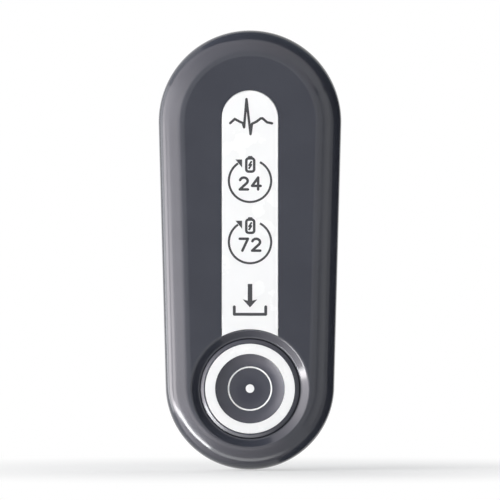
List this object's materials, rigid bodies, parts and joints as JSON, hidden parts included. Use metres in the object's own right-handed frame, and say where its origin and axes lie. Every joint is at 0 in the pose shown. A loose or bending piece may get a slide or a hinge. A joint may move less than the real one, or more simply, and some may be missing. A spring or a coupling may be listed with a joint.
{
  "type": "holter monitor",
  "caption": "Slim body-worn recorder for long ECG recordings: round-ended housing with a white indicator window, a sealed event button and a cable socket at its top end.",
  "frame": {"origin": "middle of the flat back face, halfway along the housing", "axes": "+X to the right seen from the front, +Y out of the back face, +Z along the housing towards the cable socket, which is up as worn; the front with the window and button faces -Y"},
  "size_m": [0.0416, 0.0146, 0.1],
  "materials": {
    "cover_plastic": "glossy dark slate grey moulded plastic",
    "button_plastic": "satin slate grey moulded plastic",
    "indicator_white": "smooth opal white, with dark grey printed icons",
    "seal_rubber": "matt black elastomer",
    "plate_metal": "fine brushed, blank",
    "board_laminate": "green solder mask",
    "chip_epoxy": "matt black moulding",
    "led_lens": "clear resin over a phosphor",
    "screw_steel": "plated, fine turned",
    "insert_brass": "plain turned brass",
    "socket_plastic": "black glass-filled moulding",
    "contact_gold": "gold flash",
    "cell_foil": "laminated foil pouch",
    "pad_foam": "closed-cell foam",
    "connector_plastic": "natural white nylon",
    "lead_red": "silicone wire jacket",
    "lead_black": "silicone wire jacket"
  },
  "bodies": {
    "housing": {"front_cover": "cover_plastic", "rear_cover": "cover_plastic", "housing_gasket": "seal_rubber", "rear_plate": "plate_metal", "indicator_window": "indicator_white", "icon_light_frame": "chip_epoxy", "switch_body": "chip_epoxy", "main_board": "board_laminate", "processor_chip": "chip_epoxy", "amplifier_chip": "chip_epoxy", "clock_crystal": "screw_steel", "memory_chip": "chip_epoxy", "alert_buzzer": "chip_epoxy", "status_led_1": "led_lens", "status_led_2": "led_lens", "status_led_3": "led_lens", "status_led_4": "led_lens", "battery_pad": "pad_foam", "battery_cell": "cell_foil", "battery_header": "connector_plastic", "battery_plug": "connector_plastic", "battery_lead_red": "lead_red", "battery_lead_black": "lead_black", "socket_shell": "socket_plastic", "socket_insulator": "socket_plastic", "socket_contact_1": "contact_gold", "socket_contact_2": "contact_gold", "socket_contact_3": "contact_gold", "socket_contact_4": "contact_gold", "socket_contact_5": "contact_gold", "socket_contact_6": "contact_gold", "socket_contact_7": "contact_gold", "socket_seal": "seal_rubber", "housing_screw_1": "screw_steel", "housing_screw_2": "screw_steel", "housing_screw_3": "screw_steel", "housing_screw_4": "screw_steel", "threaded_insert_1": "insert_brass", "threaded_insert_2": "insert_brass", "threaded_insert_3": "insert_brass", "threaded_insert_4": "insert_brass"},
    "button": {"event_button": "button_plastic", "button_ring": "indicator_white", "button_circle_mark": "indicator_white", "button_centre_dot": "indicator_white", "button_seal": "seal_rubber"},
    "plunger": {"switch_plunger": "connector_plastic"}
  },
  "joints": [
    {"name": "button_press", "type": "slide", "parent": "housing", "child": "button", "axis": [0, 1, 0], "range_m": [0, 0.0005], "stiffness_N_per_m": 3000},
    {"name": "plunger_press", "type": "slide", "parent": "housing", "child": "plunger", "axis": [0, 1, 0], "range_m": [0, 0.0005]}
  ],
  "couplings": [
    {"joint": "plunger_press", "follows": "button_press", "ratio": 1}
  ]
}
